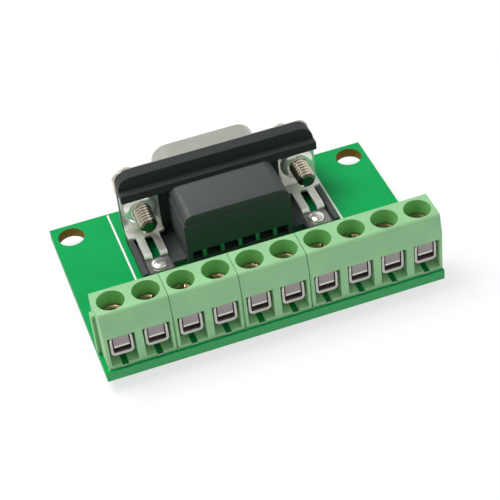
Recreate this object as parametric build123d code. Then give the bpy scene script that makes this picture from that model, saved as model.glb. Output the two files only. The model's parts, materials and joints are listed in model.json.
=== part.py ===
from build123d import *
import math
import os

# A breakout adapter: a nine-way D-shaped socket and a ten-way row of rising-clamp screw
# terminals on one circuit board. Sizes are in millimetres. X runs along the terminal row,
# Y towards the socket's mating face and Z up. The origin lies midway between the two
# mounting holes, on the underside of the board.

# Circuit board
board_depth = 33.5
board_thickness = 1.6
hole_spacing = 45.72
hole_inset = 2.84
mounting_hole_radius = 2.05
drill_clearance = 0.08
drill_sides = 8

# Terminal housings, one entry for each moulding with its number of ways
housing_ways = (2, 2, 2, 4)
terminal_pitch = 5.08
housing_gap = 0.08
housing_depth = 6.05
housing_height = 9.8
front_margin = 0.45
top_setback = 0.85
kink_height = 6.1
top_edge_radius = 0.5
end_chamfer = 0.15
rib_reach = 0.5
rib_root = 0.9
rib_tip = 1.4
rib_height = 7.2
rib_setback = 4.4
groove_clearance = 0.03

# Chamber behind each wire window
window_width = 3.95
window_top = 5.8
mouth_depth = 2.6
guide_gap = 0.04
sill_height = 0.6
slit_width = 0.95
front_wall = 0.35
back_wall = 1.1
ceiling_height = 6.15
shelf_thickness = 0.4
access_hole_radius = 2.0

# Clamp screw
screw_setback = 3.2
thread_radius = 1.25
thread_sides = 8
head_radius = 1.85
head_height = 0.95
head_sides = 12
drive_slot_width = 0.6
drive_slot_depth = 0.5
drive_slot_turn = 37.0
neck_clearance = 0.15
tip_clearance = 0.15
thread_clearance = 0.06

# Wire clamp, a rectangular loop that the screw lifts
clamp_width = 3.4
clamp_height = 3.55
clamp_side_wall = 0.4
clamp_bottom_wall = 0.5
clamp_top_wall = 0.8
clamp_corner = 0.5
clamp_recess = 0.45
clamp_headroom = 0.65
clamp_gap = 0.1

# Terminal contact, a bent strip with a tongue, a wire guard and a tail
strip_thickness = 0.5
strip_width = 2.3
tongue_height = 3.6
guard_height = 1.75
guard_recess = 0.5
terminal_tail_width = 0.85
tail_reach = 1.9

# Socket shell and flange
flange_overhang = 2.905
flange_height = 12.5
flange_corner = 1.6
shell_thickness = 0.5
shell_margin = 1.24
shell_height = 7.9
shell_corner = 2.6
shell_reach = 5.9
side_slope = 10.0
connector_setback = 5.85
face_recess = 0.3

# Contacts of the socket
upper_count = 5
lower_count = 4
contact_pitch = 2.77
row_pitch = 2.84
socket_width = 1.5
socket_bore = 1.06
socket_length = 5.4
socket_bore_depth = 4.5
face_hole_radius = 0.6
face_hole_sides = 8
face_wall = 0.55
cavity_clearance = 0.05
tail_size = 0.6
tail_bend = 0.7
tail_clearance = 0.03
row_setback = 9.3

# Black moulding of the connector
body_corner = 2.2
body_thickness = 2.05
ledge_reach = 1.35
ledge_bottom = 2.75
ledge_thickness = 1.35
hood_width = 16.6
hood_wall = 0.8
hood_roof = 1.3
hood_rear_wall = 0.5
hood_rear_opening = 2.9
hood_headroom = 0.33
hood_step = 0.2
hood_cap_side = 0.2
hood_edge_radius = 1.4
core_length = 2.8
pin_gap = 0.1
arm_thickness = 1.0
arm_margin = 1.8
arm_side = 2.1
base_overhang = 0.6
web_inset = 1.3
base_window_width = 3.0
base_window_inset = 0.6
rail_width = 0.75
guide_clearance = 0.05

# Ground brackets, folded from sheet
sheet = 0.4
screw_spacing = 24.99
bracket_width = 5.8
wing_length = 1.7
leg_width = 3.6
slot_width = 1.2
shelf_height = 1.95
sheet_bend = 0.5
bracket_recess = 0.6
bracket_side_gap = 0.05
collar_root_radius = 2.6
collar_tip_radius = 1.75
collar_reach = 0.95
collar_sides = 12
slot_lead = 0.3
foot_gap = 0.05
foot_length = 1.6

# Board locks and jackscrews
lock_setback = 10.3
lock_head_radius = 1.25
lock_head_height = 0.6
lock_stem_width = 1.3
lock_fork_width = 2.7
lock_barb_width = 3.5
lock_tip_width = 1.9
lock_thickness = 1.2
lock_slot_width = 0.7
lock_clearance = 0.05
lock_hole_radius = 1.6
hex_across_flats = 4.75
hex_length = 4.8
jack_thread_radius = 1.42
jack_reach = 7.35
jack_chamfer = 0.45
jack_clearance = 0.18
collar_clearance = 0.02
tapped_radius = 1.2
tapped_depth = 4.4

# Places worked out from the sizes above
way_count = sum(housing_ways)
board_width = way_count * terminal_pitch + rib_reach
board_back = hole_inset
board_front = board_back - board_depth
hole_x = hole_spacing / 2
row_start = -board_width / 2 + rib_reach
board_top = board_thickness

housing_front = board_front + front_margin
housing_back = housing_front + housing_depth
chamber_back = housing_back - back_wall
chamber_front = housing_front + front_wall
sill_top = board_top + sill_height
ceiling = board_top + ceiling_height
screw_seat = ceiling + shelf_thickness
screw_y = housing_front + screw_setback
rib_y = housing_front + rib_setback
mouth_back = housing_front + mouth_depth
strip_y = chamber_back - strip_thickness / 2
tongue_z = board_top + tongue_height
clamp_front = housing_front + clamp_recess
clamp_back = chamber_back - strip_thickness - clamp_gap
clamp_top = ceiling - clamp_headroom
guard_y = housing_front + guard_recess + strip_thickness / 2
tail_bottom = -tail_reach

flange_width = screw_spacing + 2 * flange_overhang
shell_width = upper_count * contact_pitch + 2 * shell_margin
flange_front = board_back - connector_setback
body_front = flange_front - shell_thickness
body_back = body_front - body_thickness
axis_z = board_top + flange_height / 2
ledge_z = axis_z + ledge_bottom
row_y = flange_front - row_setback
near_row_y = row_y - row_pitch / 2
far_row_y = row_y + row_pitch / 2
lock_y = flange_front - lock_setback
insulator_face = flange_front + shell_reach - face_recess
core_back = body_back - core_length
hood_inner_back = near_row_y - tail_size / 2 - pin_gap
hood_back = hood_inner_back - hood_rear_wall
hood_ceiling = axis_z + row_pitch / 2 + tail_size / 2 + hood_headroom
screw_x = screw_spacing / 2
recess_floor = body_back + bracket_recess
arm_top = board_top + arm_thickness
arm_front = lock_y + arm_margin
base_back = hood_back - base_overhang
web_back = hood_back + web_inset
base_window_front = body_back - base_window_inset
shelf_bottom = board_top + shelf_height
rail_outer = flange_width / 2
rail_inner = rail_outer - rail_width


def block(x, y, z):
    """A box between two bounds on each axis."""
    centre = ((x[0] + x[1]) / 2, (y[0] + y[1]) / 2, (z[0] + z[1]) / 2)
    return Pos(*centre) * Box(abs(x[1] - x[0]), abs(y[1] - y[0]), abs(z[1] - z[0]))


def upright_plane(y):
    """A plane of constant Y that faces the terminals, with X to the right and Z up."""
    return Plane(origin=(0, y, 0), x_dir=(1, 0, 0), z_dir=(0, -1, 0))


def side_plane(x):
    """A plane of constant X, with Y to the right and Z up."""
    return Plane(origin=(x, 0, 0), x_dir=(0, 1, 0), z_dir=(1, 0, 0))


def slab(outline, y_high, y_low):
    """An outline in X and Z, given thickness from one Y down to another."""
    return extrude(upright_plane(y_high) * outline, y_high - y_low)


def post(radius, x, y, z_low, z_high):
    """An upright cylinder."""
    return Pos(x, y, (z_low + z_high) / 2) * Cylinder(radius, z_high - z_low)


def prism(radius, sides, x, y, z_low, z_high):
    """An upright prism whose corners lie on a circle."""
    return Pos(x, y, z_low) * extrude(RegularPolygon(radius, sides), z_high - z_low)


def passage(radius, sides, x, y, z_low, z_high):
    """An upright prism that clears a round pin of the given radius."""
    outline = RegularPolygon(radius, sides, major_radius=False)
    return Pos(x, y, z_low) * extrude(outline, z_high - z_low)


def lying_rod(radius, x, z, y_high, y_low):
    """A cylinder along Y."""
    return slab(Pos(x, z) * Circle(radius), y_high, y_low)


def lying_passage(radius, sides, x, z, y_high, y_low):
    """A prism along Y that clears a round pin of the given radius."""
    return slab(Pos(x, z) * RegularPolygon(radius, sides, major_radius=False), y_high, y_low)


def way_x(way):
    """The middle of a terminal, counted from zero at the low end."""
    return row_start + (way + 0.5) * terminal_pitch


def contact_places():
    """X, Z and tail Y of each socket contact, the longer row first."""
    rows = ((upper_count, 1, near_row_y), (lower_count, -1, far_row_y))
    places = []
    for count, side, tail_y in rows:
        for number in range(count):
            x = (number - (count - 1) / 2) * contact_pitch
            places.append((x, axis_z + side * row_pitch / 2, tail_y))
    return places


def terminal_places():
    """Where each terminal's tail meets the board."""
    return [(way_x(way), strip_y) for way in range(way_count)]


def d_outline(width, height, corner):
    """The D shape: wide at the top, with sloping sides and rounded corners."""
    slope = math.radians(side_slope)
    gain = corner * (math.tan(slope) + 1 / math.cos(slope) - 1)
    top = width / 2 + gain
    bottom = top - height * math.tan(slope)
    points = ((-top, height / 2), (top, height / 2), (bottom, -height / 2), (-bottom, -height / 2))
    face = make_face(Polyline(*points, close=True))
    return Pos(0, axis_z) * fillet(face.vertices(), corner)


def circuit_board():
    """The board with its mounting holes and the drillings for every tail."""
    board = block((-board_width / 2, board_width / 2), (board_front, board_back), (0, board_top))
    tail_drill = math.hypot(tail_size, tail_size) / 2 + drill_clearance
    terminal_drill = math.hypot(terminal_tail_width, strip_thickness) / 2 + drill_clearance
    for side in (-1, 1):
        board -= post(mounting_hole_radius, side * hole_x, 0, 0, board_top)
        board -= passage(lock_hole_radius, drill_sides, side * screw_x, lock_y, 0, board_top)
    for x, _, y in contact_places():
        board -= passage(tail_drill, drill_sides, x, y, 0, board_top)
    for x, y in terminal_places():
        board -= passage(terminal_drill, drill_sides, x, y, 0, board_top)
    return board


def dovetail(x, reach, grow, height):
    """A dovetail bar that stands out of a housing's end towards low X."""
    root = rib_root / 2 + grow
    tip = rib_tip / 2 + grow
    outline = make_face(Polyline((x, -root), (x, root), (x - reach, tip), (x - reach, -tip), close=True))
    return Pos(0, rib_y, board_top) * extrude(outline, height)


def housing_profile():
    """The moulding's side view: square at the back and sloping at the upper front."""
    top = board_top + housing_height
    kink = board_top + kink_height
    points = (
        (housing_back, board_top),
        (housing_back, top),
        (housing_front + top_setback, top),
        (housing_front, kink),
        (housing_front, board_top),
    )
    face = make_face(Polyline(*points, close=True))
    return fillet(face.vertices().group_by(Axis.Y)[-1], top_edge_radius)


def terminal_chamber(x):
    """What is cut from a housing at one way: window, chamber, slit and screw holes."""
    half = window_width / 2
    top = board_top + housing_height
    outside = housing_front - front_wall
    cut = block((x - half, x + half), (outside, chamber_front), (sill_top, board_top + window_top))
    cut += block((x - half, x + half), (chamber_front, mouth_back), (sill_top, ceiling))
    guide = clamp_width / 2 + guide_gap
    cut += block((x - guide, x + guide), (chamber_front, chamber_back), (sill_top, ceiling))
    cut += block((x - slit_width / 2, x + slit_width / 2), (outside, chamber_back), (board_top, sill_top))
    cut += passage(thread_radius + neck_clearance, thread_sides, x, screw_y, ceiling, screw_seat)
    return cut + post(access_hole_radius, x, screw_y, screw_seat, top)


def terminal_housing(first, ways):
    """One green moulding with its dovetail bar at low X and the groove at high X."""
    low = row_start + first * terminal_pitch + housing_gap / 2
    high = low + ways * terminal_pitch - housing_gap
    housing = extrude(side_plane(low) * housing_profile(), high - low)
    front_edges = housing.edges().filter_by(Axis.Z).group_by(Axis.Y)[0]
    housing = chamfer(front_edges, end_chamfer)
    reach = rib_reach + housing_gap / 2
    mating = high + housing_gap
    housing -= dovetail(mating, reach + groove_clearance, groove_clearance, rib_height + groove_clearance)
    housing += dovetail(low, reach, 0, rib_height)
    for way in range(first, first + ways):
        housing -= terminal_chamber(way_x(way))
    return housing


def wire_clamp(x):
    """The loop: thin sides and floor, a thick tapped roof, and room in front for the guard."""
    bottom = clamp_top - clamp_height
    window_floor = bottom + clamp_bottom_wall
    window_roof = clamp_top - clamp_top_wall
    outer = Rectangle(clamp_width, clamp_height)
    outer = Pos(x, clamp_top - clamp_height / 2) * chamfer(outer.vertices(), clamp_corner)
    half = clamp_width / 2 - clamp_side_wall
    loop = slab(outer, clamp_back, clamp_front)
    loop -= block((x - half, x + half), (clamp_front, clamp_back), (window_floor, window_roof))
    guard_back = guard_y + strip_thickness / 2 + clamp_gap
    loop -= block((x - half, x + half), (clamp_front, guard_back), (window_roof, clamp_top))
    bore = thread_radius + thread_clearance
    return loop - passage(bore, thread_sides, x, screw_y, window_roof, clamp_top)


def clamp_screw(x, turn):
    """A slotted cheese-head screw whose head sits on the shelf."""
    tip = tongue_z + strip_thickness / 2 + tip_clearance
    head_top = screw_seat + head_height
    half = drive_slot_width / 2
    screw = prism(thread_radius, thread_sides, 0, 0, tip, screw_seat)
    screw += prism(head_radius, head_sides, 0, 0, screw_seat, head_top)
    screw -= block((-head_radius, head_radius), (-half, half), (head_top - drive_slot_depth, head_top))
    return Pos(x, screw_y, 0) * Rot(0, 0, turn) * screw


def folded_strip(x, width, thickness, points):
    """A sheet strip of one width that follows a bent line in a plane of constant X."""
    outline = trace(Polyline(*points), thickness)
    return extrude(side_plane(x - width / 2) * outline, width)


def terminal_contact(x):
    """A strip folded up as a guard, back as a tongue, then down to its tail."""
    route = (
        (guard_y, tongue_z + guard_height),
        (guard_y, tongue_z),
        (strip_y, tongue_z),
        (strip_y, sill_top),
    )
    half = terminal_tail_width / 2
    y_span = (strip_y - strip_thickness / 2, strip_y + strip_thickness / 2)
    tail = block((x - half, x + half), y_span, (tail_bottom, sill_top))
    return folded_strip(x, strip_width, strip_thickness, route) + tail


def connector_shell():
    """Plated steel front: a flange with two holes and the drawn D-shaped shroud."""
    plate = Pos(0, axis_z) * RectangleRounded(flange_width, flange_height, flange_corner)
    outer = d_outline(shell_width, shell_height, shell_corner)
    inner = d_outline(
        shell_width - 2 * shell_thickness,
        shell_height - 2 * shell_thickness,
        shell_corner - shell_thickness,
    )
    tip = flange_front + shell_reach
    shell = slab(plate, flange_front, body_front) + slab(outer, tip, flange_front)
    shell -= slab(inner, tip, body_front)
    hole = jack_thread_radius + jack_clearance
    for side in (-1, 1):
        shell -= lying_passage(hole, drill_sides, side * screw_x, axis_z, flange_front, body_front)
    return shell


def contact_insulator():
    """The black D-shaped face block, drilled for nine contacts."""
    inset = 2 * (shell_thickness + cavity_clearance)
    outline = d_outline(shell_width - inset, shell_height - inset, shell_corner - inset / 2)
    core = slab(outline, insulator_face, body_front)
    cavity_front = insulator_face - face_wall
    half = socket_width / 2 + cavity_clearance
    for x, z, _ in contact_places():
        core -= block((x - half, x + half), (body_front, cavity_front), (z - half, z + half))
        core -= lying_passage(face_hole_radius, face_hole_sides, x, z, insulator_face, cavity_front)
    return core


def socket_contact(x, z, tail_y):
    """A box-shaped socket whose square tail runs back and bends down through the board."""
    front = insulator_face - face_wall - cavity_clearance
    back = front - socket_length
    outer = socket_width / 2
    bore = socket_bore / 2
    socket = block((x - outer, x + outer), (back, front), (z - outer, z + outer))
    socket -= block((x - bore, x + bore), (front - socket_bore_depth, front), (z - bore, z + bore))
    route = (
        (back, z),
        (tail_y + tail_bend, z),
        (tail_y, z - tail_bend),
        (tail_y, tail_bottom),
    )
    return socket + folded_strip(x, tail_size, tail_size, route)


def body_flange():
    """The moulding's flange with its ledge and the two bracket pockets under it."""
    plate = Pos(0, axis_z) * RectangleRounded(flange_width, flange_height, body_corner)
    flange = slab(plate, body_front, body_back)
    ledge_x = (-flange_width / 2, flange_width / 2)
    flange += block(ledge_x, (body_back - ledge_reach, body_back), (ledge_z, ledge_z + ledge_thickness))
    pocket_inner = screw_x - bracket_width / 2 - bracket_side_gap
    hole = jack_thread_radius + jack_clearance
    for side in (-1, 1):
        pocket_x = (side * pocket_inner, side * flange_width / 2)
        flange -= block(pocket_x, (body_back, recess_floor), (board_top, ledge_z))
        flange -= lying_passage(hole, drill_sides, side * screw_x, axis_z, body_front, recess_floor)
    return flange


def lock_slot(side, z_low, z_high):
    """What is cut from a plate for the stem of a board lock."""
    half_x = lock_stem_width / 2 + lock_clearance
    half_y = lock_thickness / 2 + lock_clearance
    x = side * screw_x
    return block((x - half_x, x + half_x), (lock_y - half_y, lock_y + half_y), (z_low, z_high))


def body_hood():
    """The cover over the tails: a box under a narrower cap with rounded sides, open below."""
    half = hood_width / 2
    roof_z = hood_ceiling + hood_roof
    step_z = roof_z - hood_edge_radius - hood_cap_side
    hood = block((-half, half), (hood_back, body_back), (board_top, step_z))
    cap_half = half - hood_step
    cap = block((-cap_half, cap_half), (hood_back + hood_step, body_back), (step_z, roof_z))
    hood += fillet(cap.edges().filter_by(Axis.Y).group_by(Axis.Z)[-1], hood_edge_radius)
    inner = half - hood_wall
    hood -= block((-inner, inner), (hood_inner_back, core_back), (board_top, hood_ceiling))
    opening_z = (board_top, board_top + hood_rear_opening)
    return hood - block((-inner, inner), (hood_back, hood_inner_back), opening_z)


def connector_body():
    """The whole black moulding: flange, hood, rails, webs and the arms that carry the locks."""
    body = body_flange() + body_hood()
    window = base_window_width / 2
    for side in (-1, 1):
        rail_x = (side * rail_inner, side * rail_outer)
        body += block(rail_x, (base_back, recess_floor), (board_top, shelf_bottom))
        web_x = (side * (hood_width / 2 - hood_wall), side * rail_outer)
        body += block(web_x, (web_back, recess_floor), (board_top, arm_top))
        arm_x = (side * (screw_x - arm_side), side * rail_outer)
        body += block(arm_x, (base_back, arm_front), (board_top, arm_top))
        window_x = (side * (screw_x - window), side * (screw_x + window))
        body -= block(window_x, (arm_front, base_window_front), (board_top, arm_top))
        body -= lock_slot(side, board_top, arm_top)
    half = tail_size / 2 + tail_clearance
    for x, z, _ in contact_places():
        body -= block((x - half, x + half), (core_back, body_front), (z - half, z + half))
    return body


def tail_guide():
    """A loose plate under the hood that holds the nine tails in line."""
    half = hood_width / 2 - hood_wall - guide_clearance
    front = far_row_y + arm_margin
    guide = block((-half, half), (hood_inner_back + guide_clearance, front), (board_top, arm_top))
    half = tail_size / 2 + tail_clearance
    for x, _, y in contact_places():
        guide -= block((x - half, x + half), (y - half, y + half), (board_top, arm_top))
    return guide


def ground_bracket(side):
    """Folded sheet: upright with a drawn collar, winged shelf, slotted legs and a foot."""
    x = side * screw_x
    upright_y = recess_floor - sheet / 2
    drop_y = lock_y + lock_head_radius + foot_gap + sheet / 2
    shelf_z = shelf_bottom + sheet / 2
    foot_z = arm_top + sheet / 2
    route = (
        (upright_y, ledge_z),
        (upright_y, shelf_z + sheet_bend),
        (upright_y - sheet_bend, shelf_z),
        (drop_y + sheet_bend, shelf_z),
        (drop_y, shelf_z - sheet_bend),
        (drop_y, foot_z),
        (lock_y - foot_length, foot_z),
    )
    bracket = folded_strip(x, bracket_width, sheet, route)
    upright_face = recess_floor - sheet
    wing_back = upright_face - wing_length
    beside_leg = (lock_y - foot_length, wing_back)
    for edge in (-1, 1):
        wide = x + edge * bracket_width / 2
        leg_edge = x + edge * leg_width / 2
        bracket -= block((leg_edge, wide), beside_leg, (arm_top, shelf_bottom + sheet))
    half = slot_width / 2
    slot_start = wing_back - slot_lead - half
    slot_z = (arm_top + sheet, shelf_bottom + sheet)
    bracket -= block((x - half, x + half), (lock_y, slot_start), slot_z)
    bracket -= passage(half, drill_sides, x, slot_start, *slot_z)
    collar = Pos(x, axis_z, collar_reach / 2) * Cone(collar_root_radius, collar_tip_radius, collar_reach)
    bracket += upright_plane(upright_face) * collar
    bore = jack_thread_radius + collar_clearance
    bracket -= lying_passage(bore, collar_sides, x, axis_z, recess_floor, upright_face - collar_reach)
    return bracket - lock_slot(side, arm_top, arm_top + sheet)


def board_lock(side):
    """A rivet-headed fork: its stem holds the bracket's foot and its barbs snap under the board."""
    foot_top = arm_top + sheet
    barb_z = -lock_clearance
    x = side * screw_x
    stem = lock_stem_width / 2
    fork = lock_fork_width / 2
    barb = lock_barb_width / 2
    tip = lock_tip_width / 2
    gap = lock_slot_width / 2
    half = (
        (0, foot_top),
        (stem, foot_top),
        (stem, board_top),
        (fork, board_top),
        (fork, barb_z),
        (barb, barb_z),
        (tip, tail_bottom),
        (gap, tail_bottom),
        (gap, board_top - gap),
        (0, board_top - gap),
    )
    face = make_face(Polyline(*half, close=True))
    outline = Pos(x, 0) * (face + mirror(face, Plane.YZ))
    pin = slab(outline, lock_y + lock_thickness / 2, lock_y - lock_thickness / 2)
    return pin + post(lock_head_radius, x, lock_y, foot_top, foot_top + lock_head_height)


def jackscrew(side):
    """A hexagonal jack with a tapped end and a threaded tail through the bracket."""
    x = side * screw_x
    tip = flange_front + hex_length
    hexagon = Pos(x, axis_z) * RegularPolygon(hex_across_flats / 2, 6, major_radius=False, rotation=30)
    jack = slab(hexagon, tip, flange_front)
    tail = lying_rod(jack_thread_radius, x, axis_z, flange_front, flange_front - jack_reach)
    tail = chamfer(tail.edges().sort_by(Axis.Y)[0], jack_chamfer)
    return jack + tail - lying_rod(tapped_radius, x, axis_z, tip, tip - tapped_depth)


def write(name, piece):
    """Saves one sub-part."""
    export_step(piece, "parts/" + name + ".step")


def main():
    """Builds every sub-part and writes it."""
    os.makedirs("parts", exist_ok=True)
    write("circuit_board", circuit_board())
    first = 0
    for number, ways in enumerate(housing_ways, 1):
        write("terminal_housing_%d" % number, terminal_housing(first, ways))
        first += ways
    for way in range(way_count):
        x = way_x(way)
        write("wire_clamp_%02d" % (way + 1), wire_clamp(x))
        write("clamp_screw_%02d" % (way + 1), clamp_screw(x, drive_slot_turn * way))
        write("terminal_contact_%02d" % (way + 1), terminal_contact(x))
    write("connector_shell", connector_shell())
    write("contact_insulator", contact_insulator())
    write("connector_body", connector_body())
    write("tail_guide", tail_guide())
    for number, place in enumerate(contact_places(), 1):
        write("socket_contact_%d" % number, socket_contact(*place))
    for side, word in ((-1, "left"), (1, "right")):
        write("ground_bracket_" + word, ground_bracket(side))
        write("board_lock_" + word, board_lock(side))
        write("jackscrew_" + word, jackscrew(side))


main()
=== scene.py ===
import json
import math
import random

import bmesh
import bpy
from bpy.props import FloatProperty, FloatVectorProperty, PointerProperty
from mathutils import Matrix, Vector


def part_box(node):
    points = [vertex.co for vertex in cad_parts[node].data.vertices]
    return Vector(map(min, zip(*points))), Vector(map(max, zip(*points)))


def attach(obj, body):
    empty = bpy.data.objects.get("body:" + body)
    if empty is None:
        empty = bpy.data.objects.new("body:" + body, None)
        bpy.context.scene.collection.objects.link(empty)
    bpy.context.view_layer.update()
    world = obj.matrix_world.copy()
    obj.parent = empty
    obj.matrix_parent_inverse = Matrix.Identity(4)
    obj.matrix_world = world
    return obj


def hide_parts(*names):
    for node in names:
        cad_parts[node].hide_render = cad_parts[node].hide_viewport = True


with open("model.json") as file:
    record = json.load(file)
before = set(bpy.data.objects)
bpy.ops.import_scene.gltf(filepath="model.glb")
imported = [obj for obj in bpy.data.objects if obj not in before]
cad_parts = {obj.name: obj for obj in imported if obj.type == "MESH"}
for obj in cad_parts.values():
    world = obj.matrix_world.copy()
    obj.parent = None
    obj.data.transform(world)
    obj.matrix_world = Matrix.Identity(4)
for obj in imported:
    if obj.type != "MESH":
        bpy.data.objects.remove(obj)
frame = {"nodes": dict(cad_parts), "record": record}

bl_info = {
    "name": "Terminal adapter dressing",
    "version": (1, 0, 0),
    "blender": (4, 5, 0),
    "location": "3D View > Sidebar > Adapter",
    "description": "Dresses the solids of a socket and screw terminal adapter",
    "category": "Object",
}

MM = 0.001
ROOT = "adapter"
WAYS = sorted(n[-2:] for n in frame["nodes"] if n.startswith("wire_clamp_"))
HOUSINGS = sorted(n for n in frame["nodes"] if n.startswith("terminal_housing_"))
SOCKETS = sorted(n for n in frame["nodes"] if n.startswith("socket_contact_"))
SIDES = {"left": -1, "right": 1}

OVERCUT = 1.0 * MM  # how far a cutting tool reaches past what it cuts
WELD = 1e-7  # corners closer than this are made one
SLIVER = 1e-8  # edges shorter than this are taken out
FLAT_ANGLE = math.radians(0.6)  # faces that meet within this angle are made one
ROUNDED_ANGLE = math.radians(30)  # edges sharper than this are rounded
SCREW_HEAD_HEIGHT = 0.95 * MM


def low(node):
    """The lowest corner of a solid."""
    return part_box(node)[0]


def high(node):
    """The highest corner of a solid."""
    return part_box(node)[1]


def middle(node):
    """The centre of a solid's box."""
    return (low(node) + high(node)) / 2


BOARD_HIGH = high("circuit_board")
BOARD_TOP = BOARD_HIGH.z
MOUNT = frame["record"]["mounts"][0]
HOLE_X = MOUNT["dims"]["spacing_x_mm"] * MM / 2
HOLE_RADIUS = MOUNT["dims"]["hole_r_mm"] * MM


def dimension(name, default, description):
    """A length that a user can change."""
    return FloatProperty(
        name=name, description=description, default=default, min=0.0, precision=5,
        unit="LENGTH", subtype="DISTANCE",
    )


def colour(name, default, description):
    """A colour that a user can change."""
    return FloatVectorProperty(
        name=name, description=description, default=default, size=3, min=0.0, max=1.0, subtype="COLOR",
    )


class AdapterSizes(bpy.types.PropertyGroup):
    """Sizes of the details that the solids leave plain."""

    housing_edge: dimension("Housing edge", 0.1 * MM, "Rounding of the green mouldings' edges")
    body_edge: dimension("Body edge", 0.09 * MM, "Rounding of the black moulding's edges")
    sheet_edge: dimension("Sheet edge", 0.045 * MM, "Rounding of stamped sheet edges")
    sheet_bend: dimension("Sheet bend", 0.42 * MM, "Centreline radius of the brackets' folds")
    strip_bend: dimension("Strip bend", 0.3 * MM, "Centreline radius of the contacts' folds")
    clamp_corner: dimension("Clamp corner", 0.72 * MM, "Outer corner radius of the wire clamps")
    clamp_pitch: dimension("Clamp thread pitch", 0.45 * MM, "Thread pitch of the clamp screws")
    jack_pitch: dimension("Jackscrew thread pitch", 0.635 * MM, "Thread pitch of the jackscrews")
    head_chamfer: dimension("Head chamfer", 0.14 * MM, "Chamfer round the clamp screws' heads")
    hex_chamfer: dimension("Hexagon chamfer", 0.4 * MM, "Turned chamfer on the jackscrews' hexagons")
    print_width: dimension("Print line", 0.3 * MM, "Width of the white printed lines")
    print_inset: dimension("Print inset", 16.4 * MM, "Distance of the long printed lines from the middle")
    solder_radius: dimension("Solder radius", 0.95 * MM, "Foot radius of the solder joints")
    solder_height: dimension("Solder height", 0.85 * MM, "Height of the solder joints under the board")
    shell_root: dimension("Shell root", 0.55 * MM, "Radius where the drawn shroud leaves its flange")


class AdapterColours(bpy.types.PropertyGroup):
    """Colours of the finishes."""

    mask: colour("Solder mask", (0.003, 0.35, 0.085), "The board's green lacquer")
    laminate: colour("Laminate", (0.055, 0.34, 0.115), "The board's cut edge")
    barrel: colour("Hole wall", (0.26, 0.16, 0.03), "The walls of the mounting holes")
    print: colour("Print", (0.86, 0.88, 0.84), "The white printed lines")
    housing: colour("Housing", (0.285, 0.56, 0.27), "The terminal housings' plastic")
    # painted light: the access hole colour is a more saturated copy of the housing green, for light bouncing
    # inside the holes
    hole: colour("Access hole", (0.22, 0.64, 0.19), "The walls of the screwdriver holes")
    # painted light: the window sill colour is a lighter copy of the housing green, for light from in front
    sill: colour("Window sill", (0.44, 0.86, 0.41), "The floors of the wire windows")
    black: colour("Black plastic", (0.04, 0.046, 0.046), "The connector's moulding")
    steel: colour("Guard", (0.28, 0.25, 0.252), "Tin on the terminal contacts")
    clamp: colour("Clamp steel", (0.5, 0.49, 0.46), "Zinc plated clamps")
    tin: colour("Tin", (0.95, 0.93, 0.88), "Bright tin on sheet and strip")
    shell: colour("Shell", (0.53, 0.53, 0.475), "Satin tin on the shell")
    screw: colour("Screw", (0.46, 0.29, 0.19), "Passivated clamp screws")
    jack: colour("Jackscrew", (0.66, 0.6, 0.48), "Nickel over brass")
    gold: colour("Gold", (0.83, 0.62, 0.25), "Gold flash on the socket contacts")
    tail: colour("Tails", (0.42, 0.41, 0.38), "Dull tin on the tails of the socket contacts")
    solder: colour("Solder", (0.6, 0.6, 0.6), "Solder joints")
    floor: colour("Floor", (0.95, 0.95, 0.95), "The pale floor")


def sizes():
    """The sizes in use."""
    return bpy.context.scene.adapter_sizes


def colours():
    """The colours in use."""
    return bpy.context.scene.adapter_colours


def shade(base, factor):
    """A colour made darker or lighter."""
    return tuple(min(1.0, max(0.0, c * factor)) for c in base)


def shader(name, roughness, metallic=0.0):
    """A new material with its principled shader and coordinates that ride with the piece."""
    material = bpy.data.materials.new(name)
    material.use_nodes = True
    tree = material.node_tree
    surface = tree.nodes["Principled BSDF"]
    surface.inputs["Metallic"].default_value = metallic
    surface.inputs["Roughness"].default_value = roughness
    return material, tree, surface, fresh(tree, "TexCoord").outputs["Object"]


def feed(tree, socket, value):
    """Links a socket to another one, or sets it to a value."""
    if isinstance(value, bpy.types.NodeSocket):
        tree.links.new(value, socket)
    else:
        socket.default_value = value


def fresh(tree, kind, **inputs):
    """A new node, with each named input linked or set."""
    node = tree.nodes.new("ShaderNode" + kind)
    for name, value in inputs.items():
        feed(tree, node.inputs[name], value)
    return node


def calculate(tree, operation, *values, kind="Math", output="Value"):
    """What a mathematical node makes of sockets or values."""
    node = fresh(tree, kind)
    node.operation = operation
    for socket, value in zip(node.inputs, values):
        feed(tree, socket, value)
    return node.outputs[output]


def axes(tree, vector):
    """The X, Y and Z of a vector."""
    return fresh(tree, "SeparateXYZ", Vector=vector).outputs


def noise(tree, place, scale, detail=4.0, stretch=(1, 1, 1)):
    """Noise over a piece; the scale is in cells per metre."""
    stretched = fresh(tree, "Mapping", Scale=stretch, Vector=place).outputs["Vector"]
    return fresh(tree, "TexNoise", Scale=scale, Detail=detail, Vector=stretched).outputs["Fac"]


def remap(tree, value, source=(0.0, 1.0), target=(0.0, 1.0), interpolation="LINEAR"):
    """A value carried from one range to another and held within it."""
    spread = fresh(tree, "MapRange", Value=value)
    spread.interpolation_type = interpolation
    for name, limit in zip(("From Min", "From Max", "To Min", "To Max"), (*source, *target)):
        spread.inputs[name].default_value = limit
    return spread.outputs["Result"]


def ramp(tree, pattern, low_value=0.0, high_value=1.0):
    """Noise spread between two limits."""
    return remap(tree, pattern, (0.3, 0.7), (low_value, high_value))


def blend(tree, share, first, second):
    """A colour between two, each a colour or a socket."""
    mix = fresh(tree, "Mix")
    mix.data_type = "RGBA"
    tree.links.new(share, mix.inputs["Factor"])
    for name, value in (("A", first), ("B", second)):
        linked = isinstance(value, bpy.types.NodeSocket)
        feed(tree, mix.inputs[name], value if linked else (*value, 1.0))
    return mix.outputs["Result"]


def mottled(tree, pattern, base, darkest, lightest):
    """A colour that noise makes darker and lighter."""
    return blend(tree, ramp(tree, pattern), shade(base, darkest), shade(base, lightest))


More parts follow.
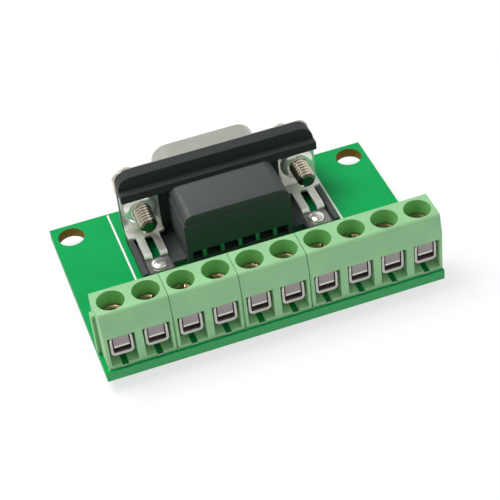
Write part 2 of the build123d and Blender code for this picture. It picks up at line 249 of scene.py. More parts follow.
def mixed_shaders(tree, share, first, second):
    """One shader made of two."""
    mix = fresh(tree, "MixShader")
    for socket, source in zip(mix.inputs, (share, first, second)):
        tree.links.new(source, socket)
    return mix.outputs["Shader"]


def beyond(tree, place, axis, limit):
    """One past a limit along an axis, and zero before it."""
    return calculate(tree, "GREATER_THAN", axes(tree, place)[axis], limit)


def relief(tree, surface, height, distance, strength=1.0):
    """Bump from a height socket."""
    bump = fresh(tree, "Bump", Distance=distance, Strength=strength, Height=height)
    tree.links.new(bump.outputs["Normal"], surface.inputs["Normal"])


def moulded(name, base, roughness, grain, depth, shine=0.5, shaded_past=None):
    """Moulded plastic: faint flow marks, a fine spark-eroded grain and uneven gloss.

    Past the Y that the last argument gives, where little light reaches, it gets painted shade: a darker tone
    and less shine.
    """
    shade_tone, shade_shine = 0.65, 0.45
    material, tree, surface, place = shader(name, roughness)
    surface.inputs["Specular IOR Level"].default_value = shine
    flow = noise(tree, place, scale=260.0, detail=3.0)
    tone = mottled(tree, flow, base, darkest=0.93, lightest=1.05)
    # painted shade: past the given Y the tone is darkened and the specular level lowered
    if shaded_past is not None:
        dull = beyond(tree, place, "Y", shaded_past)
        tone = blend(tree, dull, tone, shade(base, shade_tone))
        level = remap(tree, dull, target=(shine, shine * shade_shine))
        tree.links.new(level, surface.inputs["Specular IOR Level"])
    tree.links.new(tone, surface.inputs["Base Color"])
    gloss = noise(tree, place, scale=900.0, detail=5.0)
    tree.links.new(ramp(tree, gloss, roughness - 0.05, roughness + 0.06), surface.inputs["Roughness"])
    relief(tree, surface, noise(tree, place, scale=grain, detail=2.0), depth, strength=0.3)
    return material


def plated(
    name, base, roughness, stretch=(1, 1, 1), cloud=0.12, metal=1.0, tooling=0.0004 * MM, adjust=None
):
    """Plated metal: cloudy tone, drawn streaks and uneven gloss; adjust changes the tone by place."""
    material, tree, surface, place = shader(name, roughness, metal)
    clouds = noise(tree, place, scale=420.0, detail=3.0)
    tone = mottled(tree, clouds, base, darkest=1.0 - cloud, lightest=1.0 + cloud / 2)
    if adjust is not None:
        tone = adjust(tree, place, tone)
    tree.links.new(tone, surface.inputs["Base Color"])
    streak = noise(tree, place, scale=2600.0, detail=6.0, stretch=stretch)
    tree.links.new(ramp(tree, streak, roughness * 0.88, roughness * 1.16), surface.inputs["Roughness"])
    relief(tree, surface, streak, tooling)
    return material


def lacquered_board():
    """Green lacquer over a faint weave, with a cut edge and bare walls in the mounting holes."""
    gloss, edge_roughness, shine = 0.3, 0.7, 0.12
    hole_reach = HOLE_RADIUS * 1.05
    upright = 0.5
    material, tree, surface, place = shader("board_lacquer", gloss)
    surface.inputs["Specular IOR Level"].default_value = shine
    palette = colours()
    cloud = noise(tree, place, scale=120.0, detail=3.0)
    lacquer = mottled(tree, cloud, palette.mask, darkest=0.92, lightest=1.06)
    fibres = noise(tree, place, scale=3000.0, detail=3.0, stretch=(1, 1, 6))
    edge = mottled(tree, fibres, palette.laminate, darkest=0.75, lightest=1.5)
    barrel = mottled(tree, fibres, palette.barrel, darkest=0.7, lightest=1.2)

    at = axes(tree, place)
    folded = fresh(tree, "CombineXYZ", X=calculate(tree, "ABSOLUTE", at["X"]), Y=at["Y"])
    reach = calculate(tree, "DISTANCE", folded.outputs["Vector"], (HOLE_X, 0.0, 0.0), kind="VectorMath")
    in_hole = calculate(tree, "LESS_THAN", reach, hole_reach)

    normal = fresh(tree, "NewGeometry").outputs["Normal"]
    flatness = calculate(tree, "ABSOLUTE", axes(tree, normal)["Z"])
    is_face = calculate(tree, "GREATER_THAN", flatness, upright)

    wall = blend(tree, in_hole, edge, barrel)
    tree.links.new(blend(tree, is_face, wall, lacquer), surface.inputs["Base Color"])
    tree.links.new(remap(tree, is_face, target=(edge_roughness, gloss)), surface.inputs["Roughness"])
    weave = []
    for direction in ("X", "Y"):
        band = fresh(tree, "TexWave", Scale=620.0, Distortion=0.6, Vector=place)
        band.bands_direction = direction
        weave.append(band.outputs["Fac"])
    relief(tree, surface, calculate(tree, "MULTIPLY", *weave), distance=0.006 * MM, strength=0.25)
    return material


def fillet(previous, corner, following, radius, steps):
    """The points of the arc that rounds a corner between two straight sides."""
    here = Vector(corner)
    before = (Vector(previous) - here).normalized()
    after = (Vector(following) - here).normalized()
    half = before.angle(after) / 2
    start = here + before * radius / math.tan(half)
    end = here + after * radius / math.tan(half)
    centre = here + (before + after).normalized() * radius / math.sin(half)
    first, last = start - centre, end - centre
    turn = first.angle_signed(last)
    return [centre + Matrix.Rotation(-turn * step / steps, 2) @ first for step in range(steps + 1)]


def round_corners(corners, radii, steps=6):
    """A closed outline through straight sides and arcs at the corners."""
    outline = []
    count = len(corners)
    for index, corner in enumerate(corners):
        radius = radii[index] if hasattr(radii, "__len__") else radii
        if radius <= 0:
            outline.append(Vector(corner))
        else:
            outline += fillet(corners[index - 1], corner, corners[(index + 1) % count], radius, steps)
    return outline


def bent_strip(points, radius, thickness, steps=6):
    """The closed outline of a strip of even thickness along a bent line."""
    line = [Vector(points[0])]
    for previous, corner, following in zip(points, points[1:], points[2:]):
        line += fillet(previous, corner, following, radius, steps)
    line.append(Vector(points[-1]))
    left, right = [], []
    for index, here in enumerate(line):
        ahead = line[min(index + 1, len(line) - 1)]
        behind = line[max(index - 1, 0)]
        along = (ahead - behind).normalized()
        across = Vector((-along.y, along.x)) * thickness / 2
        left.append(here + across)
        right.append(here - across)
    return left + right[::-1]


def circle(radius, x=0.0, y=0.0, steps=40):
    """A round outline."""
    turns = [2 * math.pi * k / steps for k in range(steps)]
    return [Vector((x + radius * math.cos(a), y + radius * math.sin(a))) for a in turns]


def settle(mesh, matrix=None):
    """Moves a mesh into place, closes its seams and turns its faces outwards."""
    if matrix is not None:
        mesh.transform(matrix)
    work = bmesh.new()
    work.from_mesh(mesh)
    bmesh.ops.remove_doubles(work, verts=work.verts, dist=WELD)
    bmesh.ops.dissolve_degenerate(work, edges=work.edges, dist=SLIVER)
    bmesh.ops.recalc_face_normals(work, faces=work.faces)
    work.to_mesh(mesh)
    work.free()
    return mesh


def plate(outlines, thickness, edge, matrix):
    """A flat plate from closed outlines, with holes and rounded rims, laid in a plane."""
    curve = bpy.data.curves.new("plate", "CURVE")
    curve.dimensions = "2D"
    curve.fill_mode = "BOTH"
    curve.extrude = thickness / 2 - edge
    curve.bevel_depth = edge
    curve.bevel_resolution = 2
    curve.offset = -edge
    for outline in outlines:
        spline = curve.splines.new("POLY")
        spline.points.add(len(outline) - 1)
        for point, place in zip(spline.points, outline):
            point.co = (place[0], place[1], 0.0, 1.0)
        spline.use_cyclic_u = True
    carrier = bpy.data.objects.new("plate", curve)
    bpy.context.scene.collection.objects.link(carrier)
    bpy.context.view_layer.update()
    mesh = bpy.data.meshes.new_from_object(carrier.evaluated_get(bpy.context.evaluated_depsgraph_get()))
    bpy.data.objects.remove(carrier)
    bpy.data.curves.remove(curve)
    return settle(mesh, matrix)


def wall_plane(y):
    """The matrix that lays X and Y outlines in a plane of constant Y, as X and Z."""
    return Matrix.Translation((0, y, 0)) @ Matrix.Rotation(math.pi / 2, 4, "X")


def side_plane(x):
    """The matrix that lays X and Y outlines in a plane of constant X, as Y and Z."""
    turn = Matrix(((0, 0, 1, 0), (1, 0, 0, 0), (0, 1, 0, 0), (0, 0, 0, 1)))
    return Matrix.Translation((x, 0, 0)) @ turn


def rings_mesh(rings, cap_start=True, cap_end=True):
    """A mesh through rings of equally many points."""
    mesh = bpy.data.meshes.new("rings")
    work = bmesh.new()
    made = [[work.verts.new(p) for p in ring] for ring in rings]
    count = len(rings[0])
    for first, second in zip(made, made[1:]):
        for k in range(count):
            n = (k + 1) % count
            work.faces.new((first[k], first[n], second[n], second[k]))
    if cap_start:
        work.faces.new(made[0][::-1])
    if cap_end:
        work.faces.new(made[-1])
    work.to_mesh(mesh)
    work.free()
    return settle(mesh)


def turned(profile, steps=48, matrix=None):
    """A turned solid about Z from radius and height pairs; the ends are closed."""
    rings = [[(p.x, p.y, height) for p in circle(radius, steps=steps)] for radius, height in profile]
    mesh = rings_mesh(rings)
    if matrix is not None:
        mesh.transform(matrix)
    return mesh


def threaded(radius, depth, pitch, length, tip, steps=40, per_turn=9):
    """A threaded rod along +Z; its thread runs out at the start and its far end is chamfered by tip."""
    steepness, land = 1.5, 0.25
    count = max(8, int(length / pitch * per_turn))
    rings = []
    for row in range(count + 1):
        height = length * row / count
        limit = min(radius, radius - tip + (length - height))
        run_out = min(1.0, height / pitch)
        ring = []
        for k in range(steps):
            angle = 2 * math.pi * k / steps
            phase = (height / pitch - k / steps) % 1.0
            wave = min(1.0, max(0.0, abs(2 * phase - 1) * steepness - land))
            reach = min(limit, radius - depth * wave * run_out)
            ring.append((reach * math.cos(angle), reach * math.sin(angle), height))
        rings.append(ring)
    return rings_mesh(rings)


def block(low_corner, high_corner):
    """A plain box mesh."""
    mesh = bpy.data.meshes.new("block")
    work = bmesh.new()
    bmesh.ops.create_cube(work, size=1.0)
    size = Vector(high_corner) - Vector(low_corner)
    centre = (Vector(high_corner) + Vector(low_corner)) / 2
    bmesh.ops.scale(work, vec=size, verts=work.verts)
    bmesh.ops.translate(work, vec=centre, verts=work.verts)
    work.to_mesh(mesh)
    work.free()
    return mesh


def joined(*meshes):
    """Several closed shells in one mesh."""
    work = bmesh.new()
    for mesh in meshes:
        work.from_mesh(mesh)
    whole = bpy.data.meshes.new("joined")
    work.to_mesh(whole)
    work.free()
    for mesh in meshes:
        bpy.data.meshes.remove(mesh)
    return whole


def combined(base, tool, operation):
    """A boolean of two closed meshes."""
    target = bpy.data.objects.new("target", base)
    cutter = bpy.data.objects.new("cutter", tool)
    for item in (target, cutter):
        bpy.context.scene.collection.objects.link(item)
    modifier = target.modifiers.new("combine", "BOOLEAN")
    modifier.operation = operation
    modifier.solver = "EXACT"
    modifier.object = cutter
    bpy.context.view_layer.update()
    evaluated = target.evaluated_get(bpy.context.evaluated_depsgraph_get())
    result = bpy.data.meshes.new_from_object(evaluated)
    for item in (target, cutter):
        bpy.data.objects.remove(item)
    for mesh in (base, tool):
        bpy.data.meshes.remove(mesh)
    return result


def cut(base, tool):
    """The first mesh less the second."""
    return combined(base, tool, "DIFFERENCE")


def united(base, tool):
    """Two meshes made one."""
    return combined(base, tool, "UNION")


def show(name, mesh, finish, body, stands_for=(), edge=0.0, smooth=35.0, place=None):
    """Adds a piece, finishes it and lets it ride on its body."""
    piece = bpy.data.objects.new(name, mesh)
    bpy.context.scene.collection.objects.link(piece)
    if place is not None:
        piece.location = place
    if not mesh.materials:
        mesh.materials.append(finish)
    mesh.shade_smooth()
    mesh.set_sharp_from_angle(angle=math.radians(smooth))
    if edge > 0:
        rounding = piece.modifiers.new("edges", "BEVEL")
        rounding.width = edge
        rounding.segments = 2
        rounding.limit_method = "ANGLE"
        rounding.angle_limit = ROUNDED_ANGLE
        rounding.harden_normals = True
    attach(piece, body)
    if stands_for:
        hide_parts(*stands_for)
    return piece


def copy_of(node):
    """A new mesh with a solid's shape, its flat faces made whole."""
    mesh = frame["nodes"][node].data.copy()
    mesh.materials.clear()
    work = bmesh.new()
    work.from_mesh(mesh)
    bmesh.ops.remove_doubles(work, verts=work.verts, dist=WELD)
    bmesh.ops.dissolve_limit(
        work, angle_limit=FLAT_ANGLE, verts=work.verts, edges=work.edges, delimit={"NORMAL"}
    )
    work.to_mesh(mesh)
    work.free()
    return mesh


def paint(node, finish):
    """Gives a solid that stays in view its finish."""
    mesh = frame["nodes"][node].data
    mesh.materials.clear()
    mesh.materials.append(finish)


class Dressing:
    """What the operators share: each one builds its pieces and can be undone."""

    bl_options = {"REGISTER", "UNDO"}

    def execute(self, context):
        self.build(context.scene)
        return {"FINISHED"}


class ADAPTER_OT_board(Dressing, bpy.types.Operator):
    """Finish the board and add its printed lines"""

    bl_idname = "adapter.board"
    bl_label = "Board"

    def build(self, scene):
        size = sizes()
        paint("circuit_board", lacquered_board())
        ink = moulded("white_print", colours().print, roughness=0.55, grain=9000.0, depth=0.003 * MM)
        ink_top = BOARD_TOP + 0.02 * MM
        rear_margin, left_margin = 0.3 * MM, 0.5 * MM
        under_housing = 0.2 * MM
        strip_front, strip_rear = 0.02 * MM, 0.32 * MM
        a, b = low(HOUSINGS[0]), high(HOUSINGS[0])
        half = size.print_width / 2
        parts = []
        for side in SIDES.values():
            x = side * size.print_inset
            line_end = (x + half, BOARD_HIGH.y - rear_margin, ink_top)
            parts.append(block((x - half, b.y - under_housing, BOARD_TOP), line_end))
        strip_end = (high(HOUSINGS[-1]).x, a.y + strip_rear, ink_top)
        parts.append(block((a.x + left_margin, a.y + strip_front, BOARD_TOP), strip_end))
        show("printed_lines", joined(*parts), ink, ROOT)


class ADAPTER_OT_solder(Dressing, bpy.types.Operator):
    """Add the solder joints under the board"""

    bl_idname = "adapter.solder"
    bl_label = "Solder joints"

    def build(self, scene):
        size = sizes()
        finish = plated("solder", colours().solder, roughness=0.34)
        terminal_inset, socket_inset = 0.25 * MM, 0.3 * MM
        tip_radius, flare_power, steps = 0.36 * MM, 2.2, 8
        draw = random.Random(5)
        groups = {"terminal": ["terminal_contact_" + way for way in WAYS], "connector": SOCKETS}
        for group, names in groups.items():
            cones = []
            for node in names:
                y = high(node).y - terminal_inset if group == "terminal" else low(node).y + socket_inset
                radius = size.solder_radius * draw.uniform(0.94, 1.04)
                height = size.solder_height * draw.uniform(0.9, 1.1)
                profile = []
                for step in range(steps + 1):
                    share = step / steps
                    flare = (1 - share) ** flare_power
                    profile.append((tip_radius + (radius - tip_radius) * flare, -height * share))
                cones.append(turned(profile, 32, Matrix.Translation((middle(node).x, y, 0))))
            show(group + "_solder_joints", joined(*cones), finish, ROOT, smooth=50)


class ADAPTER_OT_housings(Dressing, bpy.types.Operator):
    """Round the edges of the green terminal housings and finish them"""

    bl_idname = "adapter.housings"
    bl_label = "Terminal housings"

    def build(self, scene):
        palette = colours()
        # The second and third finishes are painted light: lit copies of the housing green for the hole walls
        # and the window floors.
        looks = (
            ("green_housing", palette.housing, 0.42),
            ("green_hole_painted_light", palette.hole, 0.4),
            ("green_sill_painted_light", palette.sill, 0.42),
        )
        finish, *others = [
            moulded(name, base, roughness, grain=5200.0, depth=0.004 * MM) for name, base, roughness in looks
        ]
        for node in HOUSINGS:
            name = node.replace("terminal_housing", "moulded_housing")
            piece = show(name, copy_of(node), finish, ROOT, [node], sizes().housing_edge)
            for other in others:
                piece.data.materials.append(other)
            for face in piece.data.polygons:
                if self.in_hole(face):
                    face.material_index = 1
                elif self.on_sill(face):
                    face.material_index = 2

    def in_hole(self, face):
        """Whether a face is a wall of an access hole; these walls get painted light, a more saturated copy
        of the housing green for the light that bounces inside the hole.
        """
        hole_reach = 2.05 * MM
        seat = high("clamp_screw_" + WAYS[0]).z - SCREW_HEAD_HEIGHT
        if abs(face.normal.z) > 0.5 or face.center.z < seat:
            return False
        centres = [middle("clamp_screw_" + way) for way in WAYS]
        return any(math.hypot(face.center.x - c.x, face.center.y - c.y) < hole_reach for c in centres)

    def on_sill(self, face):
        """Whether a face belongs to the floor of a wire window; these faces get painted light, a lighter
        copy of the housing green for the light that reaches them from in front.
        """
        sill_top, sill_depth, half_width = 4.6 * MM, 4.0 * MM, 2.0 * MM
        if abs(face.normal.y) > 0.9 or face.normal.z < -0.5 or not BOARD_TOP < face.center.z < sill_top:
            return False
        if face.center.y > low(HOUSINGS[0]).y + sill_depth:
            return False
        return any(abs(face.center.x - middle("wire_clamp_" + way).x) < half_width for way in WAYS)


class ADAPTER_OT_clamps(Dressing, bpy.types.Operator):
    """Build the plated wire clamps with their rounded corners"""

    bl_idname = "adapter.clamps"
    bl_label = "Wire clamps"

    def build(self, scene):
        size = sizes()
        finish = plated("clamp_zinc", colours().clamp, roughness=0.34, stretch=(1, 8, 1), cloud=0.08)
        side_wall, floor_wall, roof_wall = 0.4 * MM, 0.5 * MM, 0.8 * MM
        roof_setback = 0.65 * MM
        inner_corner = 0.28 * MM
        bore_radius = 1.31 * MM
        a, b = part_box("wire_clamp_" + WAYS[0])
        centre_x = (a.x + b.x) / 2
        screw_y = middle("clamp_screw_" + WAYS[0]).y
        corners = [(a.x, a.z), (b.x, a.z), (b.x, b.z), (a.x, b.z)]
        outer = round_corners(corners, size.clamp_corner)
        left, right = a.x + side_wall, b.x - side_wall
        bottom, top = a.z + floor_wall, b.z - roof_wall
        inner = round_corners([(left, bottom), (right, bottom), (right, top), (left, top)], inner_corner)
        mesh = plate([outer, inner], b.y - a.y, size.sheet_edge, wall_plane((a.y + b.y) / 2))
        notch_start = (left, a.y - OVERCUT, (bottom + top) / 2)
        mesh = cut(mesh, block(notch_start, (right, a.y + roof_setback, b.z + OVERCUT)))
        bore_profile = [(bore_radius, top - OVERCUT), (bore_radius, b.z + OVERCUT)]
        mesh = cut(mesh, turned(bore_profile, 40, Matrix.Translation((centre_x, screw_y, 0))))
        for way in WAYS:
            node = "wire_clamp_" + way
            place = (middle(node).x - centre_x, 0, 0)
            show("cage_clamp_" + way, mesh, finish, "clamp_" + way, [node], place=place)


class ADAPTER_OT_screws(Dressing, bpy.types.Operator):
    """Build the slotted clamp screws with their threads"""

    bl_idname = "adapter.screws"
    bl_label = "Clamp screws"

    def build(self, scene):
        size = sizes()
        finish = plated("screw_passivate", colours().screw, roughness=0.2, cloud=0.3, tooling=0.02 * MM)
        head, dish, chamfer = 1.85 * MM, 0.2 * MM, size.head_chamfer
        slot_half, slot_depth = 0.3 * MM, 0.55 * MM
        thread_radius, thread_depth, thread_tip = 1.25 * MM, 0.2 * MM, 0.3 * MM
        turn_between = 37.0
        for number, way in enumerate(WAYS):
            node = "clamp_screw_" + way
            a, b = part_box(node)
            seat = b.z - SCREW_HEAD_HEIGHT
            profile = [
                (head - chamfer / 2, seat),
                (head, seat + chamfer / 2),
                (head, b.z - chamfer),
                (head - chamfer * 0.3, b.z - chamfer * 0.3),
                (head - chamfer, b.z),
                (head * 0.82, b.z - dish * 0.2),
                (head * 0.6, b.z - dish),
                (head * 0.52, b.z - dish * 0.9),
                (head * 0.3, b.z - dish * 0.3),
                (head * 0.05, b.z - dish * 0.2),
            ]
            slot_end = (2 * head, slot_half, b.z + OVERCUT)
            mesh = cut(turned(profile, 48), block((-2 * head, -slot_half, b.z - slot_depth), slot_end))
            shank = threaded(thread_radius, thread_depth, size.clamp_pitch, seat - a.z, thread_tip, 36, 8)
            shank.transform(Matrix.Translation((0, 0, seat)) @ Matrix.Rotation(math.pi, 4, "X"))
            mesh = joined(mesh, shank)
            mesh.transform(Matrix.Rotation(math.radians(turn_between * number), 4, "Z"))
            place = (middle(node).x, middle(node).y, 0)
            show("slotted_screw_" + way, mesh, finish, "screw_" + way, [node], place=place)


class ADAPTER_OT_contacts(Dressing, bpy.types.Operator):
    """Build the bent terminal contacts"""

    bl_idname = "adapter.contacts"
    bl_label = "Terminal contacts"

    def build(self, scene):
        size = sizes()
        finish = plated(
            "contact_tin", colours().steel, roughness=0.34, stretch=(6, 1, 1), cloud=0.1,
            adjust=self.painted_fold_highlight,
        )
        a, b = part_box("terminal_contact_" + WAYS[0])
        thick = 0.5 * MM
        half = thick / 2
        tail_half, tail_top, overlap = 0.425 * MM, 2.2 * MM, 0.1 * MM
        tongue = 4.88 * MM
        centre_x = (a.x + b.x) / 2
        front, rear = a.y + half, b.y - half
        corners = [
            (front - half, b.z), (front + half, b.z),
            (front + half, tongue + half), (rear + half, tongue + half),
            (rear + half, tail_top), (rear - half, tail_top),
            (rear - half, tongue - half), (front - half, tongue - half),
        ]
        inside, outside = size.strip_bend - half, size.strip_bend + half
        outline = round_corners(corners, [0, 0, inside, outside, 0, 0, inside, outside])
        strip = plate([outline], b.x - a.x, size.sheet_edge, side_plane(centre_x))
        tail_end = (centre_x + tail_half, b.y, tail_top + overlap)
        mesh = united(strip, block((centre_x - tail_half, b.y - thick, a.z), tail_end))
        for way in WAYS:
            node = "terminal_contact_" + way
            place = (middle(node).x - centre_x, 0, 0)
            show(
                "bent_contact_" + way, mesh, finish, ROOT, [node], size.sheet_edge,
                place=place,
            )

    def painted_fold_highlight(self, tree, place, tone):
        """Paints a highlight on the fold: from the fold down to the board the metal is made brighter."""
        fold_top, brighter = 5.3 * MM, 2.7
        above_fold = beyond(tree, place, "Z", fold_top)
        # painted highlight: below the fold's top the tone is a brighter copy of the tin
        fold_highlight = blend(tree, above_fold, shade(colours().steel, brighter), tone)
        return blend(tree, beyond(tree, place, "Z", BOARD_TOP), tone, fold_highlight)


class ADAPTER_OT_connector(Dressing, bpy.types.Operator):
    """Finish the black mouldings of the socket"""

    bl_idname = "adapter.connector"
    bl_label = "Connector mouldings"

    def build(self, scene):
        body = "connector_body"
        ledge_front = high(body).y - 3.45 * MM
        # The black moulding past the ledge's front gets painted shade: a darker tone and less shine.
        finish = moulded(
            "black_moulding", colours().black, roughness=0.55, grain=3400.0, depth=0.002 * MM, shine=0.6,
            shaded_past=ledge_front,
        )
        show("moulded_body", copy_of(body), finish, ROOT, [body], sizes().body_edge)
        paint("contact_insulator", finish)
        paint("tail_guide", finish)


def d_outline(width, height, corner, steps=8):
    """The D shape round the socket's axis, wide at the top."""
    slope = math.radians(10.0)
    gain = corner * (math.tan(slope) + 1 / math.cos(slope) - 1)
    top = width / 2 + gain
    bottom = top - height * math.tan(slope)
    axis = middle("connector_shell").z
    corners = [
        (-top, axis + height / 2),
        (top, axis + height / 2),
        (bottom, axis - height / 2),
        (-bottom, axis - height / 2),
    ]
    return round_corners(corners, corner, steps)


class ADAPTER_OT_shell(Dressing, bpy.types.Operator):
    """Build the plated shell with its drawn shroud and finish the gold contacts in it"""

    bl_idname = "adapter.shell"
    bl_label = "Shell and socket contacts"

    def build(self, scene):
        a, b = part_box("connector_shell")
        thick = 0.5 * MM
        width, height, corner = 16.33 * MM, 7.9 * MM, 2.6 * MM
        rim_inset, rim_corner, rim_edge = 0.22 * MM, 1.5 * MM, 0.12 * MM
        jack_hole = 1.6 * MM
        root_steps, lip_steps = 6, 8
        finish = plated("shell_tin", colours().shell, roughness=0.4, stretch=(1, 6, 1), cloud=0.06)
        flange_front = a.y + thick
        bottom, top = a.z + rim_inset, b.z - rim_inset
        rim = round_corners([(a.x, bottom), (b.x, bottom), (b.x, top), (a.x, top)], rim_corner, 8)
        axis_z = (a.z + b.z) / 2
        holes = [circle(jack_hole, middle("jackscrew_" + side).x, axis_z) for side in SIDES]
        opening = d_outline(width, height, corner)
        flange = plate([rim, opening, *holes], thick, rim_edge, wall_plane(a.y + thick / 2))

        root = sizes().shell_root
        lip = thick / 2
        stations = []
        for step in range(root_steps + 1):
            turn = math.pi / 2 * step / root_steps
            stations.append((root * (1 - math.sin(turn)), flange_front + root * (1 - math.cos(turn))))
        stations.append((0.0, b.y - lip))
        for step in range(1, lip_steps):
            turn = math.pi * step / lip_steps
            stations.append((-lip * (1 - math.cos(turn)), b.y - lip + lip * math.sin(turn)))
        stations += [(-thick, b.y - lip), (-thick, a.y + thick / 2), (root, a.y + thick / 2)]
        rings = []
        for grow, y in stations:
            outline = d_outline(width + 2 * grow, height + 2 * grow, corner + grow)
            rings.append([(p.x, y, p.y) for p in outline])
        rings.append(rings[0])
        shroud = rings_mesh(rings, False, False)
        show("drawn_shell", joined(flange, shroud), finish, ROOT, ["connector_shell"])

        gold = plated("gold_flash", colours().gold, roughness=0.34, adjust=self.tinned_tails)
        for node in SOCKETS:
            paint(node, gold)

    def tinned_tails(self, tree, place, tone):
        """Keeps the gold to the sockets in front of the flange; the tails are dull tin."""
        return blend(tree, beyond(tree, place, "Y", low("connector_shell").y), colours().tail, tone)


class ADAPTER_OT_brackets(Dressing, bpy.types.Operator):
    """Build the folded brackets with their domed collars and the board locks"""

    bl_idname = "adapter.brackets"
    bl_label = "Brackets and board locks"

    def build(self, scene):
        base = colours().tin
        tin = plated("bright_tin", base, roughness=0.2, cloud=0.04, metal=0.85, tooling=0.0)
        folded = plated(
            "folded_tin", base, roughness=0.21, cloud=0.04, metal=0.6, tooling=0.0, adjust=self.painted_foot_shade
        )
        edge = sizes().sheet_edge
        for side in SIDES:
            node = "ground_bracket_" + side
            show("folded_bracket_" + side, self.bracket(side), folded, ROOT, [node], edge)
            show("domed_lock_" + side, self.lock(side), tin, ROOT, ["board_lock_" + side])

    def painted_foot_shade(self, tree, place, tone):
        """Paints shade on the foot under the fold: the tin there is made darker."""
        foot_height, darker = 0.8 * MM, 0.3
        above = beyond(tree, place, "Z", low("ground_bracket_left").z + foot_height)
        # painted shade: below the foot's height the tin is a darker copy
        return blend(tree, above, shade(colours().tin, darker), tone)

    def bracket(self, side):
        """Sheet folded from the upright over the shelf and the legs to the foot."""
        a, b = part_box("ground_bracket_" + side)
        lock_rear = high("board_lock_" + side).y
        thick = 0.4 * MM
        lock_gap, shelf_height = 0.05 * MM, 0.95 * MM
        x = (a.x + b.x) / 2
        upright_y = b.y - thick / 2
        drop_y = lock_rear + lock_gap + thick / 2
        foot_z = a.z + thick / 2
        shelf_z = a.z + shelf_height + thick / 2
        line = [(upright_y, b.z), (upright_y, shelf_z), (drop_y, shelf_z), (drop_y, foot_z), (a.y, foot_z)]
        strip = plate([bent_strip(line, sizes().sheet_bend, thick, 8)], b.x - a.x, 0.0, side_plane(x))

        wing = (b.x - a.x) / 2
        wing_depth, slant = 1.7 * MM, 0.15 * MM
        wing_corner, leg_corner = 0.3 * MM, 0.25 * MM
        leg = 1.8 * MM
        wing_rear = b.y - thick - wing_depth
        half = [
            (wing, b.y + OVERCUT),
            (wing, wing_rear + slant),
            (leg, wing_rear - slant),
            (leg, a.y - OVERCUT),
        ]
        corners = [(x - u, v) for u, v in reversed(half)] + [(x + u, v) for u, v in half]
        radii = [0, wing_corner, leg_corner, 0]
        plan = round_corners(corners, radii + radii[::-1])
        blank_place = Matrix.Translation((0, 0, (a.z + b.z) / 2))
        strip = combined(strip, plate([plan], b.z - a.z + 2 * OVERCUT, 0.0, blank_place), "INTERSECT")

        slot_half, slot_gap = 0.6 * MM, 0.3 * MM
        slot_rear, slot_front = wing_rear - slot_gap, lock_rear - OVERCUT
        slot_corners = [
            (x - slot_half, slot_rear), (x + slot_half, slot_rear),
            (x + slot_half, slot_front), (x - slot_half, slot_front),
        ]
        slot_round = slot_half * 0.99
        window = round_corners(slot_corners, [slot_round, slot_round, 0, 0], 10)
        slot_place = Matrix.Translation((0, 0, a.z + thick + OVERCUT))
        strip = cut(strip, plate([window], 2 * OVERCUT, 0.0, slot_place))

        collar, rim, reach, bore = 2.6 * MM, 1.62 * MM, 0.95 * MM, 1.45 * MM
        sunk, dome_steps = 0.1 * MM, 10
        profile = [(collar, -sunk), (collar, 0.0)]
        for step in range(1, dome_steps + 1):
            turn = math.pi / 2 * step / dome_steps
            profile.append((rim + (collar - rim) * math.cos(turn), reach * math.sin(turn)))
        axis_z = middle("jackscrew_" + side).z
        facing = Matrix.Translation((x, b.y - thick, axis_z)) @ Matrix.Rotation(math.pi / 2, 4, "X")
        strip = united(strip, turned(profile, 64, facing))
        return cut(strip, turned([(bore, -OVERCUT), (bore, reach + OVERCUT)], 48, facing))

    def lock(self, side):
        """The forked pin under a domed head."""
        node = "board_lock_" + side
        a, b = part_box(node)
        head_height, rim, undercut, dome_steps = 0.6 * MM, 0.1 * MM, 0.05 * MM, 9
        head_z = b.z - head_height
        pin = copy_of(node)
        work = bmesh.new()
        work.from_mesh(pin)
        everything = work.verts[:] + work.edges[:] + work.faces[:]
        bmesh.ops.bisect_plane(
            work, geom=everything, plane_co=(0, 0, head_z), plane_no=(0, 0, 1), clear_outer=True
        )
        bmesh.ops.holes_fill(work, edges=work.edges[:])
        work.to_mesh(pin)
        work.free()
        radius = (b.y - a.y) / 2
        profile = [(radius - undercut, head_z), (radius, head_z + 0.04 * MM)]
        for step in range(dome_steps):
            turn = math.pi / 2 * step / dome_steps
            profile.append((radius * math.cos(turn), head_z + rim + (b.z - head_z - rim) * math.sin(turn)))
        profile.append((radius * 0.07, b.z))
        head = turned(profile, 56, Matrix.Translation(((a.x + b.x) / 2, (a.y + b.y) / 2, 0)))
        return joined(pin, head)


